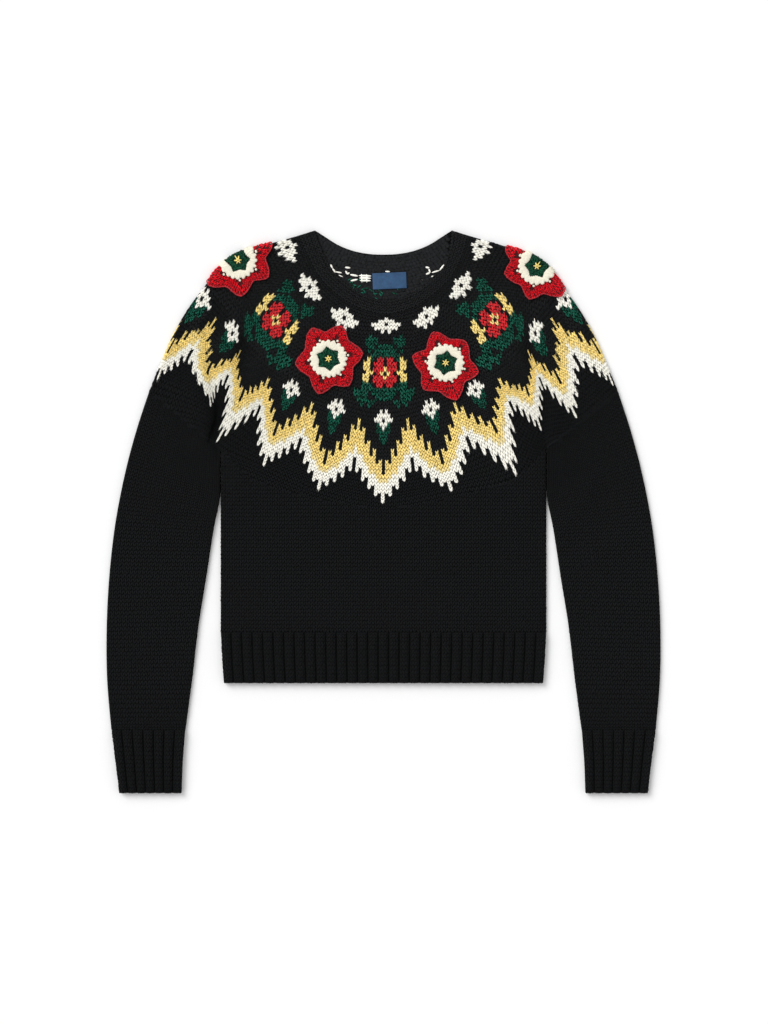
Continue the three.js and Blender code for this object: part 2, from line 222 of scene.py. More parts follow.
# Yoke: knitted in the round in cotton, black with the fair isle pattern in cream, gold, red and green.
# The pattern is counted in repeats of the zigzag, 18 round the yoke from the centre front, and in rows
# from the neck seam. The plan gives, for some rows, the places of the repeats -4 to 4 and of both folds.
REPEATS = 18
FOLD_SPOKE = 5
PLAN_ROWS = [0, 7, 16, 28, 41, 49.5, 54, 61]
FOLD_REPEATS = [4.9, 4.84, 4.75, 5.2, 5.12, 5.1, 5.1, 5.1]
YOKE_LEFT = [
    [(4, 257), (-29.5, 264), (-58.5, 281), (-82, 304), (-98, 333), (-110, 359.5)],
    [(3.3, 231.5), (-36.2, 231), (-73.6, 250), (-105.5, 282.5), (-128, 319), (-144, 348)],
    [(2, 181.6), (-46, 189), (-94.5, 212.5), (-138.5, 251), (-173, 297), (-194.5, 331)],
    [(0, 116), (-62, 130.5), (-121, 155.5), (-173, 192), (-197.5, 229.5), (-243, 279.3)],
    [(0, 54), (-76, 67.5), (-141, 104.5), (-184.5, 150), (-228, 184), (-282.3, 213.8)],
    [(-1, 14.2), (-84, 31.5), (-155, 63), (-215, 94.5), (-225, 140), (-297, 177.5)],
    [(-1, -6.9), (-89, 9.5), (-162, 41), (-227, 74.5), (-228, 117), (-311, 139)],
    [(-1, -39.6), (-95, -23), (-173, 7), (-240, 42), (-236, 80), (-322, 105)],
]
YOKE_RIGHT = [
    [(4, 257), (37, 265), (65, 282.5), (88, 305), (102.5, 333), (110, 359.5)],
    [(3.3, 231.5), (41.2, 231.5), (77, 253), (110, 285), (131, 322), (144, 348)],
    [(2, 181.6), (49, 189.5), (95.5, 213.5), (143.5, 251.5), (174, 296), (194.5, 331)],
    [(0, 116), (62, 130.5), (121, 155.5), (175, 192), (198.5, 229.5), (243, 279.3)],
    [(0, 54), (76, 67.5), (145, 108.5), (187.5, 155.5), (228, 172), (282.3, 213.8)],
    [(-1, 14.2), (87.5, 30), (171, 51.5), (204, 109), (249.5, 125), (300, 170.5)],
    [(-1, -6.9), (92, 8), (180.5, 30.5), (212.5, 87.5), (261, 105), (311, 139)],
    [(-1, -39.6), (98, -24.5), (191, -3), (221, 53), (279, 72), (322, 105)],
]
YOKE_PLAN = np.array([left[:0:-1] + right for left, right in zip(YOKE_LEFT, YOKE_RIGHT)], float)
LOWER_SEAM = [(0, 2), (87.5, 17.5), (163, 40), (212, 80), (256, 114.5), (305.5, 155.5)]
SHOULDER_FOLD = [(110, 359.5), (194.5, 331), (238.5, 286), (273, 232), (305.5, 155.5), (322, 105)]
YOKE_BACK_NECK = [(0, 314), (24, 315.5), (48, 320), (70, 329.5), (91, 342.5), (110, 359.5)]
seam_line = through(LOWER_SEAM, np.linspace(0, FOLD_SPOKE, 101))
shoulder = [through(SHOULDER_FOLD, np.linspace(0, FOLD_SPOKE, 61))]


def seam_height(x):
    """Where the yoke ends, up the jumper, at a place across it."""
    return np.interp(np.abs(x), seam_line[:, 0], seam_line[:, 1])


def repeat_at(spoke, row):
    """The repeat at a spoke: they are the same up to the fourth, and the fifth spoke is the fold."""
    last = np.interp(row, PLAN_ROWS, FOLD_REPEATS)
    beyond = 4 + (np.abs(spoke) - 4) * (last - 4)
    return np.where(np.abs(spoke) < 4, spoke, np.sign(spoke) * beyond)


def spoke_at(repeat, row):
    """The spoke at a repeat of the pattern."""
    last = np.interp(row, PLAN_ROWS, FOLD_REPEATS)
    beyond = 4 + (np.abs(repeat) - 4) / (last - 4)
    return np.where(np.abs(repeat) < 4, repeat, np.sign(repeat) * beyond)


def yoke_plan(spoke, row):
    """The plan of the yoke's front at a spoke and a row. It runs straight on past a fold."""
    held = np.clip(spoke, -FOLD_SPOKE, FOLD_SPOKE)
    inside = np.clip(spoke, 0.1 - FOLD_SPOKE, FOLD_SPOKE - 0.1)
    row_index, row_weight = neighbours(np.interp(row, PLAN_ROWS, range(len(PLAN_ROWS))), len(PLAN_ROWS))

    def at(place):
        index, weight = neighbours(place + FOLD_SPOKE, 2 * FOLD_SPOKE + 1)
        corners = YOKE_PLAN[row_index[:, :, None], index[:, None, :]]
        return np.einsum("ni,nj,nijc->nc", row_weight, weight, corners)

    point = at(held)
    beyond = np.abs(spoke) > FOLD_SPOKE
    slope = (point - at(inside)) / 0.1
    point += np.where(beyond, np.abs(spoke) - FOLD_SPOKE, 0)[:, None] * slope
    return point[:, 0], point[:, 1]


def yoke_front(repeat, row):
    """Points and outward directions on the yoke's front."""
    x, y = yoke_plan(spoke_at(repeat, row), row)
    return lay(x, y, shoulder)


# The knitter's chart. A line is a row from the top, from the middle stitch of a motif to one side.
ROSE_TOP = 7
ZIGZAG_TOP = 25
LAST_ROW = 61
NECK_GAUGE = 13 / 1.5
ZIGZAG_GAUGE = 18
MOTIF_REPEATS = 1.5
ROSE_REPEATS = 3
ROSE_STITCH = 3.95
ROSE_SPREAD = 0.05
SIDE_ROSE_SPREAD = 0.35
ROSE_REACH = 9
SHOULDER_STITCH = 0.08
BUD_STITCH = 3.5
OUTER_BUD_SPREAD = 0.6
BUD_MOST = 1.6 / ZIGZAG_GAUGE
BUD_HALF = 3.5
TURNED_UNDER = 0.12
SHARE_STEP = 0.2
NECK_MOTIF_TOP = 2
NECK_MOTIF = ["w....", "www..", ".wwww", "wwww.", ".w..."]
ROSE = [
    ".....g...",
    "...gggg..",
    "...gggg..",
    "ggg.gg...",
    "gggg.g...",
    "ggggg....",
    ".rr.gy...",
    ".rrr.yy..",
    "yrrr.yy..",
    ".yr.yy...",
    "yrrr.yy..",
    "rrrr.yy..",
    ".rr.ggg..",
    "ggggggg..",
    "gggg.gggg",
    "ggg..gggg",
    "...ggggg.",
    "....g.g..",
]
BUD = [".w..", "www.", ".www", "wwg.", "wgg.", "ggg.", "gg..", "gg..", "g..."]
# By stitches from the zigzag's lowest point, in rows from the top of the buds: the first gold row,
# the first cream row and the row after them
GOLD_FROM = [17, 13, 14, 10, 12, 8, 9, 5, 6, 3]
CREAM_FROM = [19, 19, 18, 17, 17, 15, 14, 12, 12, 10]
ZIGZAG_ENDS = [25, 22, 23, 20, 21, 18, 19, 16, 17, 13]
# Painted shade: the share of each yarn's colour kept on the cloth under the stitches, darker for the shade
# in the gaps between the arms
GROUND_PAINTED_SHADE = {".": 0.8, "b": 0.8, "w": 1.0, "y": 0.65, "p": 0.9, "r": 0.16, "g": 0.12}
FULLNESS = {".": 1.15, "b": 1.15, "w": 1.2, "y": 1.14, "p": 1.14, "r": 1.1, "g": 1.0}
# Yarn colours. The yoke's black "." is the same black cotton as "b", made lighter as painted light on the
# upper part of the jumper
COLOURS = {
    ".": srgb(33, 34, 35),
    "b": srgb(27, 28, 29),
    "w": srgb(255, 253, 243),
    "y": srgb(255, 229, 142),
    "p": srgb(248, 230, 168),
    "r": srgb(214, 32, 40),
    "g": srgb(20, 82, 65),
}


def stitch_share(middle, row, width):
    """The share of a repeat that a stitch of this width takes at the middle of a motif."""
    near = np.array([middle - SHARE_STEP, middle + SHARE_STEP])
    x, y = yoke_plan(spoke_at(near, row), np.full(2, row + 0.5))
    return 2 * SHARE_STEP * width / math.hypot(x[1] - x[0], y[1] - y[0])


def rose_share(middle, row):
    """The share of a repeat that a stitch of a rose takes. The side roses are a little wider."""
    width = ROSE_STITCH + ROSE_SPREAD * (row - ROSE_TOP) + SIDE_ROSE_SPREAD * bool(middle)
    return stitch_share(middle, row, width)


def bud_share(middle, row):
    """The share of a repeat that a stitch of a bud takes. The buds beyond the side roses are wider."""
    width = BUD_STITCH + OUTER_BUD_SPREAD * (abs(middle) > ROSE_REPEATS)
    return min(max(stitch_share(middle, row, width), 1 / ZIGZAG_GAUGE), BUD_MOST)


ROSE_MOTIFS = (-ROSE_REPEATS, 0, ROSE_REPEATS)
ROSE_ROWS = range(ROSE_TOP, ZIGZAG_TOP)
BUD_ROWS = range(ZIGZAG_TOP, ZIGZAG_TOP + len(BUD))
ROSE_SHARES = {(middle, row): rose_share(middle, row) for middle in ROSE_MOTIFS for row in ROSE_ROWS}
BUD_SHARES = {(middle, row): bud_share(middle, row) for middle in range(-5, 6) for row in BUD_ROWS}


def chart(repeat, row):
    """The yarn of the stitch at a repeat and a row, as its letter."""
    row = int(row)
    if row < ROSE_TOP:
        between = round(MOTIF_REPEATS * NECK_GAUGE)
        aside = abs((round(repeat * NECK_GAUGE) + between // 2) % between - between // 2)
        line = row - NECK_MOTIF_TOP
        shown = 0 <= line < len(NECK_MOTIF) and aside < len(NECK_MOTIF[0])
        return NECK_MOTIF[line][aside] if shown else "."
    if row < ZIGZAG_TOP:
        motif = min(ROSE_MOTIFS, key=lambda middle: abs(repeat - middle))
        aside = abs(round((repeat - motif) / ROSE_SHARES[motif, row]))
        return ROSE[row - ROSE_TOP][aside] if aside < len(ROSE[0]) else "."
    away = abs(repeat - round(repeat))
    share = BUD_SHARES.get((round(repeat), row), 1 / ZIGZAG_GAUGE)
    held = BUD_HALF * share
    if away > held:
        away = BUD_HALF + (away - held) * (ZIGZAG_GAUGE / 2 - BUD_HALF) / (0.5 - held)
        aside = min(round(away), ZIGZAG_GAUGE // 2)
    else:
        aside = round(away / share)
    line = row - ZIGZAG_TOP
    if line < len(BUD) and aside < len(BUD[0]) and abs(round(repeat)) != ROSE_REPEATS:
        return BUD[line][aside]
    if GOLD_FROM[aside] <= line < CREAM_FROM[aside]:
        return "y" if line < CREAM_FROM[aside] - 1 else "p"
    if CREAM_FROM[aside] <= line < ZIGZAG_ENDS[aside]:
        return "w"
    return "." if line < GOLD_FROM[aside] else "b"


def row_stitches(row):
    """The repeats at which a row has its stitches on the front, and the width of each."""
    most = np.interp(row, PLAN_ROWS, FOLD_REPEATS) + TURNED_UNDER
    if row < ROSE_TOP:
        last = int(most * NECK_GAUGE)
        return [(column / NECK_GAUGE, 1 / NECK_GAUGE) for column in range(-last, last + 1)]
    found = []
    if row < ZIGZAG_TOP:
        for motif in ROSE_MOTIFS:
            width = ROSE_SHARES[motif, row]
            found += [(motif + column * width, width) for column in range(-ROSE_REACH, ROSE_REACH + 1)]
            spare = ROSE_REPEATS / 2 - (ROSE_REACH + 0.5) * width
            filling = max(1, round(spare / width))
            for step in range(filling):
                away = (ROSE_REACH + 0.5) * width + spare * (step + 0.5) / filling
                found += [(motif + away, spare / filling), (motif - away, spare / filling)]
        edge = ROSE_REPEATS * 1.5
        while edge < most:
            away = edge + SHOULDER_STITCH / 2
            found += [(away, SHOULDER_STITCH), (-away, SHOULDER_STITCH)]
            edge += SHOULDER_STITCH
        return found
    for middle in range(-6, 7):
        width = BUD_SHARES.get((middle, row), 1 / ZIGZAG_GAUGE)
        held = BUD_HALF * width
        outer = (0.5 - held) / (ZIGZAG_GAUGE / 2 - BUD_HALF)
        for aside in range(-ZIGZAG_GAUGE // 2 + 1, ZIGZAG_GAUGE // 2 + 1):
            near = abs(aside) < BUD_HALF
            away = abs(aside) * width if near else held + (abs(aside) - BUD_HALF) * outer
            repeat = middle + math.copysign(away, aside)
            if abs(repeat) <= most:
                found.append((repeat, width if near else outer))
    return found


def yarn(name, colour, uneven=0.16, sheen=0.1, gloss=0.2, grain=420):
    """Matt cotton yarn, a little uneven in tone from stitch to stitch, with a nap of fine fibres."""
    made, nodes, links, shader = new_material(
        name, Roughness=0.88, Specular_IOR_Level=gloss, Sheen_Weight=sheen, Sheen_Roughness=0.6
    )
    place = nodes.new("ShaderNodeTexCoord")
    tone = fill_in(nodes.new("ShaderNodeTexNoise"), Scale=grain, Detail=1)
    spread = fill_in(nodes.new("ShaderNodeMapRange"), From_Min=0.36, From_Max=0.64)
    mix = nodes.new("ShaderNodeMix")
    mix.data_type = "RGBA"
    mix.inputs[6].default_value = [value * (1 - uneven) for value in colour[:3]] + [1]
    mix.inputs[7].default_value = [value * (1 + uneven) for value in colour[:3]] + [1]
    nap = fill_in(nodes.new("ShaderNodeTexNoise"), Scale=2600, Detail=3)
    bump = fill_in(nodes.new("ShaderNodeBump"), Strength=0.35, Distance=0.3 * MM)
    links.new(place.outputs["Object"], tone.inputs["Vector"])
    links.new(place.outputs["Object"], nap.inputs["Vector"])
    links.new(tone.outputs["Fac"], spread.inputs["Value"])
    links.new(spread.outputs["Result"], mix.inputs["Factor"])
    links.new(mix.outputs[2], shader.inputs["Base Color"])
    links.new(nap.outputs["Fac"], bump.inputs["Height"])
    links.new(bump.outputs["Normal"], shader.inputs["Normal"])
    return made


YARNS = {
    # The yoke's black is a lighter copy of the body's black: painted light
    ".": yarn("black_cotton_yoke", COLOURS["."], 0.2, 0.0, 0.06),
    "b": yarn("black_cotton", COLOURS["b"], 0.08, 0.0, 0.05),
    "w": yarn("cream_cotton", COLOURS["w"], 0.04),
    "y": yarn("gold_cotton", COLOURS["y"], 0.26, grain=520),
    "p": yarn("pale_gold_cotton", COLOURS["p"], 0.12, grain=520),
    "r": yarn("red_cotton", COLOURS["r"], 0.4, grain=520),
    "g": yarn("green_cotton", COLOURS["g"], 0.9, 0.02, 0.1, grain=520),
}


def knitted_ground(name):
    """The cloth under the stitches, seen plain on the underside: its arms of yarn are a bump along
    the UV map, and its colours are the chart's, kept on the mesh, with painted shade where the bump is low."""
    made, nodes, links, shader = new_material(name, Roughness=0.9, Specular_IOR_Level=0.05)

    def sums(operation, first, second=None):
        node = nodes.new("ShaderNodeMath")
        node.operation = operation
        for socket, value in zip(node.inputs, (first, second)):
            if isinstance(value, (int, float)):
                socket.default_value = value
            elif value is not None:
                links.new(value, socket)
        return node.outputs[0]

    uv = nodes.new("ShaderNodeUVMap")
    parts = nodes.new("ShaderNodeSeparateXYZ")
    links.new(uv.outputs["UV"], parts.inputs["Vector"])
    across, along = parts.outputs["X"], parts.outputs["Y"]
    aside = sums("ABSOLUTE", sums("SUBTRACT", sums("FRACT", across), 0.5))
    arm = sums("SINE", sums("MULTIPLY", aside, 2 * math.pi))
    slant = sums("SUBTRACT", along, sums("MULTIPLY", aside, 1.1))
    loop = sums("ABSOLUTE", sums("SINE", sums("MULTIPLY", slant, math.pi)))
    height = sums("MULTIPLY", arm, sums("ADD", 0.35, sums("MULTIPLY", loop, 0.65)))
    bump = fill_in(nodes.new("ShaderNodeBump"), Strength=0.9, Distance=1.2 * MM)
    links.new(height, bump.inputs["Height"])
    links.new(bump.outputs["Normal"], shader.inputs["Normal"])
    colour = nodes.new("ShaderNodeVertexColor")
    colour.layer_name = "yarn"
    shade = nodes.new("ShaderNodeMix")
    shade.data_type = "RGBA"
    shade.blend_type = "MULTIPLY"
    shade.inputs["Factor"].default_value = 1
    # Painted shade: the colour is darkened where the bump is low, between the arms of yarn
    dark = sums("ADD", 0.45, sums("MULTIPLY", height, 0.55))
    links.new(colour.outputs["Color"], shade.inputs[6])
    links.new(dark, shade.inputs[7])
    links.new(shade.outputs[2], shader.inputs["Base Color"])
    return made


GROUND = knitted_ground("knitted_ground")


def add_layer(made, columns, rows, place, colour=None):
    """Adds a layer of cloth to a bmesh: a grid that `place` puts in position, by its shares across
    and down, in the colours that `colour` gives, or else in black, each darkened as painted shade."""
    uv = made.loops.layers.uv.verify()
    paint = made.loops.layers.float_color.get("yarn") or made.loops.layers.float_color.new("yarn")
    corners = bmesh.ops.create_grid(made, x_segments=columns, y_segments=rows, size=0.5)["verts"]
    flat = np.array([corner.co[:2] for corner in corners])
    for face in {face for corner in corners for face in corner.link_faces}:
        middle = face.calc_center_median()
        letter = "." if colour is None else colour(middle.x + 0.5, 0.5 - middle.y)
        shaded_tint = [value * GROUND_PAINTED_SHADE[letter] for value in COLOURS[letter][:3]] + [1]
        for loop in face.loops:
            x, y = loop.vert.co.x, loop.vert.co.y
            loop[uv].uv = ((x + 0.5) * columns, (y + 0.5) * rows)
            loop[paint] = shaded_tint
    points = place(flat[:, 0] + 0.5, 0.5 - flat[:, 1]) * MM
    for corner, point in zip(corners, points):
        corner.co = point


FRONT_INSET = 1.5
BACK_INSET = 0.2
GROUND_WALL = 1.6


def thicken(piece, wall):
    """Gives a piece its thickness, inwards."""
    solidify = piece.modifiers.new("wall", "SOLIDIFY")
    solidify.thickness = wall * MM
    solidify.offset = -1


def cloth(name, made):
    """A finished ground: its layers with the thickness of the cloth."""
    piece = as_object(name, made, GROUND)
    thicken(piece, GROUND_WALL)
    return piece


def sunk(surface, depth):
    """Points this far under a surface, which is given as its points and outward directions."""
    points, outward = surface
    return points - outward * depth


def strand(sides, rings):
    """A spindle of yarn with its ends up and down, as its points and its faces."""
    made = bmesh.new()
    bmesh.ops.create_uvsphere(made, u_segments=sides, v_segments=rings, radius=1)
    made.verts.ensure_lookup_table()
    points = np.array([vertex.co[:] for vertex in made.verts])
    faces = [[vertex.index for vertex in face.verts] for face in made.faces]
    made.free()
    return points, faces


def joined(name, copies, faces, material):
    """One mesh from many copies of a shape: `copies` holds the points of each, in millimetres."""
    size = copies.shape[1]
    starts = np.arange(len(copies)) * size
    every = []
    for corners in {len(face) for face in faces}:
        same = np.array([face for face in faces if len(face) == corners])
        every += (same[None] + starts[:, None, None]).reshape(-1, corners).tolist()
    mesh = bpy.data.meshes.new(name)
    mesh.from_pydata((copies.reshape(-1, 3) * MM).tolist(), [], every)
    return as_piece(name, mesh, material)


# One arm of a stitch, in shares of the stitch's width and height, and its thickness in millimetres.
# Then how much an arm varies: its places across and down, its length, and its lift in millimetres.
ARM_MIDDLE = 0.24
ARM_LEAN = 0.2
ARM_HALF_WIDTH = 0.205
ARM_HALF_LENGTH = 0.62
ARM_RADIUS = 1.0
ARM_TILT = 0.4
ARM_WANDER = (0.035, 0.06, 0.05, 0.12)
FINE_STRAND = strand(4, 4)
PLAIN_STRAND = strand(4, 3)
chance = np.random.default_rng(7)


def knit(name, place, across, down, width, height, material, shape=PLAIN_STRAND, lift=0.0, full=1.0):
    """Stitches with two arms each, at places across and down the cloth that `place` knows."""
    points, faces = shape
    count = len(across)
    width, height, lift = (np.broadcast_to(value, count)[:, None] for value in (width, height, lift))
    aside, out, along = points.T
    halves = []
    for hand in (1, -1):
        wander = chance.normal(0, 1, (4, count, 1))
        sideways, downwards, longer, higher = (step * part for step, part in zip(ARM_WANDER, wander))
        share = hand * (ARM_MIDDLE + ARM_LEAN * along + ARM_HALF_WIDTH * full * aside * hand)
        columns = across[:, None] + width * (share + sideways)
        rows = down[:, None] + height * (downwards - along * ARM_HALF_LENGTH * (1 + longer))
        surface, outward = place(columns.ravel(), rows.ravel())
        rise = lift + higher - ARM_RADIUS * (1 + full * out) - ARM_TILT * along
        halves.append((surface + outward * rise.reshape(-1, 1)).reshape(count, -1, 3))
    return joined(name, np.concatenate(halves), faces, material)


def pattern_stitches():
    """The places of the yoke's stitches, sorted by yarn."""
    found = {letter: [] for letter in COLOURS}
    for row in range(LAST_ROW):
        for repeat, width in row_stitches(row):
            found[chart(repeat, row)].append((repeat, row + 0.5, width))
    return {letter: np.array(places) for letter, places in found.items()}


PAST_SEAM = 1
COLOUR_LIFT = 0.15
yoke_pieces = []
for letter, places in pattern_stitches().items():
    repeat, row, width = places.T
    x, y = yoke_plan(spoke_at(repeat, row), row)
    kept = y > seam_height(x) - PAST_SEAM
    name = YARNS[letter].name.replace("cotton", "stitches")
    shape, lift = (PLAIN_STRAND, 0) if letter in ".b" else (FINE_STRAND, COLOUR_LIFT)
    yoke_pieces.append(
        knit(
            f"yoke_{name}", yoke_front, repeat[kept], row[kept], width[kept], 1.0, YARNS[letter],
            shape, lift, FULLNESS[letter],
        )
    )

GROUND_COLUMNS = 181
BACK_COLUMNS = 148
GROUND_ROWS = 53
SEAM_FROM_ROW = 41
ground_reach = GROUND_COLUMNS / (2 * ZIGZAG_GAUGE)
spokes = np.linspace(-FOLD_SPOKE, FOLD_SPOKE, 81)
rows = np.linspace(SEAM_FROM_ROW, LAST_ROW, 60)
last_rows = []
for spoke in spokes:
    x, y = yoke_plan(np.full(rows.size, spoke), rows)
    last_rows.append(np.interp(0, seam_height(x) - y, rows))


def front_stitch(across, down):
    """The spoke and the row at shares across and down the front of the yoke, which ends at its seam."""
    spoke = np.clip((2 * across - 1) * ground_reach, -FOLD_SPOKE, FOLD_SPOKE)
    return spoke, down * np.interp(spoke, spokes, last_rows)


def front_ground(across, down):
    return sunk(lay(*yoke_plan(*front_stitch(across, down)), shoulder), FRONT_INSET)


def front_colour(across, down):
    spoke, row = front_stitch(across, down)
    return chart(float(repeat_at(spoke, row)), row)


# The hidden back: the pattern is carried round it as far as the folds' repeat at its middle rows
BACK_ROWS = 54
BACK_HALF_REPEATS = REPEATS / 2 - FOLD_REPEATS[3]


def back_plan(spoke, down):
    """The plan of the yoke's back, whose neck seam is higher."""
    fold = through(SHOULDER_FOLD[:5], down * 4)
    neck = through(YOKE_BACK_NECK, np.abs(spoke))
    lower = through(LOWER_SEAM, np.abs(spoke))
    straight_fold = neck * 0 + (1 - down)[:, None] * YOKE_BACK_NECK[5] + down[:, None] * LOWER_SEAM[5]
    share = np.clip(np.abs(spoke) - 4, 0, 1)[:, None]
    point = neck + (lower - neck) * down[:, None] + share * (fold - straight_fold)
    return point[:, 0] * np.sign(spoke), point[:, 1]


def back_ground(across, down):
    plan = back_plan((1 - 2 * across) * FOLD_SPOKE, down)
    return sunk(lay(*plan, shoulder, front=False), BACK_INSET)


def back_colour(across, down):
    return chart(REPEATS / 2 - (1 - 2 * across) * BACK_HALF_REPEATS, down * BACK_ROWS)


made = bmesh.new()
add_layer(made, GROUND_COLUMNS, GROUND_ROWS, front_ground, front_colour)
add_layer(made, BACK_COLUMNS, GROUND_ROWS, back_ground, back_colour)
yoke = cloth("yoke_cloth", made)
for piece in [yoke, *yoke_pieces]:
    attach(piece, "root")
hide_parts("yoke")

# Body: front and back panels in plain black cotton, joined at the sides. The rows lie level,
# and the top stitches run up to the yoke.
BODY_HALF_WIDTH = 212
HEM_SEAM_Y = -157
SIDE_SEAM_TOP = 90
BODY_STITCH = 4.5
BODY_ROW = 5.0
PANEL_COLUMNS = 94
PANEL_ROWS = 40
side_seam = [[(BODY_HALF_WIDTH, SIDE_SEAM_TOP), (BODY_HALF_WIDTH, HEM_SEAM_Y)]]


def body_front(across, down):
    return lay(across, -down, side_seam)


def body_places(columns):
    """Stitch centres in these columns, up to the yoke."""
    found = []
    for column in columns:
        x = column * BODY_STITCH
        top = seam_height(min(abs(x), BODY_HALF_WIDTH))
        found += [(x, -y) for y in np.arange(HEM_SEAM_Y + BODY_ROW / 2, top, BODY_ROW)]
    return np.array(found).T


def body_ground(front):
    """A panel from side to side, between the yoke's seam and the hem's."""

    def place(across, down):
        x = (2 * across - 1) * BODY_HALF_WIDTH * (1 if front else -1)
        y = seam_height(x) + (HEM_SEAM_Y - seam_height(x)) * down
        return sunk(lay(x, y, side_seam, front), FRONT_INSET if front else BACK_INSET)

    made = bmesh.new()
    add_layer(made, PANEL_COLUMNS, PANEL_ROWS, place)
    return made


last_column = int(BODY_HALF_WIDTH / BODY_STITCH)
front_columns = range(-last_column, last_column + 1)
side_columns = [side * (last_column + step) for side in (-1, 1) for step in (1, 2)]
for name, columns, front in [("body_front", front_columns, True), ("body_back", side_columns, False)]:
    panel = cloth(f"{name}_cloth", body_ground(front))
    x, down = body_places(columns)
    size = (BODY_STITCH, BODY_ROW)
    stitches = knit(f"{name}_stitches", body_front, x, down, *size, YARNS["b"], full=FULLNESS["b"])
    for piece in (panel, stitches):
        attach(piece, "root")
    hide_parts(name)

# Sleeves: plain tubes in black cotton, knitted on from the yoke down to the cuffs. They are given
# by their outer and inner edges in the plan, and by the stitches across and the rows down the front.
SLEEVE_OUTER = [
    (305.5, 155.5), (322, 105), (337, 48), (349.5, -17),
    (357, -83), (360.5, -150), (360, -217), (354.5, -284),
]
SLEEVE_INNER = [
    (212, 80), (212, 50), (212.5, 19), (221, -24),
    (230, -83), (240.5, -148), (248.5, -216), (257.5, -284),
]
SLEEVE_PLACES = len(SLEEVE_OUTER) - 1
SLEEVE_COLUMNS = 24
SLEEVE_ROWS = 88
SEAM_FADE = 6
sleeve_folds = [
    through(SLEEVE_OUTER, np.linspace(0, SLEEVE_PLACES, 40)),
    through(SLEEVE_INNER, np.linspace(SLEEVE_PLACES, 0, 40)),
]
sleeve_seam = seam_line[seam_line[:, 0] >= BODY_HALF_WIDTH]
seam_shares = np.hypot(*(sleeve_seam - sleeve_seam[0]).T)
seam_shares /= seam_shares[-1]


def sleeve_plan(share, down):
    """The right sleeve's plan: it follows the yoke's seam at the top and is straight further down."""
    down_held = np.clip(down, 0, 1)
    inner, outer = (through(edge, down_held * SLEEVE_PLACES) for edge in (SLEEVE_INNER, SLEEVE_OUTER))
    point = inner + (outer - inner) * share[:, None]
    held = np.clip(share, 0, 1)
    seam = np.stack([np.interp(held, seam_shares, sleeve_seam[:, k]) for k in (0, 1)], axis=1)
    top = np.array([SLEEVE_INNER[0], SLEEVE_OUTER[0]])
    straight = top[0] + (top[1] - top[0]) * held[:, None]
    point += (seam - straight) * ((1 - down_held) ** SEAM_FADE)[:, None]
    point[:, 1] -= (down - down_held) * SLEEVE_ROWS * BODY_ROW
    return point


def sleeve_place(side):
    """The place function of one sleeve's front, counted in stitches from its left edge, and in rows."""

    def place(column, row):
        share = column / SLEEVE_COLUMNS
        point = sleeve_plan(share if side > 0 else 1 - share, row / SLEEVE_ROWS)
        return lay(side * point[:, 0], point[:, 1], sleeve_folds)

    return place


for name, side in (("sleeve_left", -1), ("sleeve_right", 1)):
    place = sleeve_place(side)
    column, row = np.meshgrid(np.arange(-2, SLEEVE_COLUMNS + 2) + 0.5, np.arange(-1, SLEEVE_ROWS) + 0.5)
    places = (column.ravel(), row.ravel())
    stitches = knit(f"{name}_stitches", place, *places, 1.0, 1.0, YARNS["b"], full=FULLNESS["b"])

    def ground_front(across, down):
        return sunk(place(across * SLEEVE_COLUMNS, down * SLEEVE_ROWS), FRONT_INSET)

    def ground_back(across, down):
        point = sleeve_plan(across if side < 0 else 1 - across, down)
        return sunk(lay(side * point[:, 0], point[:, 1], sleeve_folds, front=False), BACK_INSET)

    made = bmesh.new()
    add_layer(made, SLEEVE_COLUMNS * 2, SLEEVE_ROWS, ground_front)
    add_layer(made, SLEEVE_COLUMNS * 2, SLEEVE_ROWS, ground_back)
    tube = cloth(f"{name}_cloth", made)
    for piece in (tube, stitches):
        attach(piece, "root")
    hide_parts(name)

# Hem and cuffs: ribbed tubes in black cotton, picked up along the cloth and knitted down. A rib is
# three raised columns of stitches beside a narrow groove, and it rises from the cloth over its first row.
HEM_RIBS = 31
CUFF_RIBS = 7
RIB_HEIGHT = 4.2
RIB_FULLNESS = 0.8
RIB_START = 0.35
RIB_GROWTH = 9
RIB_STEPS = (-0.29, 0, 0.29)
RIB_STITCH = 0.31
RIB_ROW = 4.7
FRONT_RIB_COLUMNS = 8
BACK_RIB_COLUMNS = 4
HEM_LEVELS = [
    ((-212, -157), (212, -157)), ((-210.5, -190), (210.5, -190)), ((-208, -223), (208, -223))
]
CUFF_LEVELS = [
    ((257.5, -284), (354.5, -284)), ((261, -325), (349, -325)), ((262.5, -366), (344, -366))
]


def band_place(levels, ribs, folds, front=True):
    """The place function of a ribbed band, counted in ribs from its left edge, and by its share down."""
    left, right = ([level[side] for level in levels] for side in (0, 1))

    def place(rib, down):
        share = (rib / ribs)[:, None]
        low, high = (through(points, down * (len(levels) - 1)) for points in (left, right))
        point = low + (high - low) * share
        points, outward = lay(point[:, 0], point[:, 1], folds, front)
        risen = np.clip(RIB_START + RIB_GROWTH * down, 0, 1)
        raised = RIB_HEIGHT * np.abs(np.sin(np.pi * rib)) ** RIB_FULLNESS * risen
        return (points + outward * raised[:, None] if front else points), outward

    return place


def mirrored(levels):
    """The levels of a band on the other side of the jumper."""
    return [((-right[0], right[1]), (-left[0], left[1])) for left, right in levels]


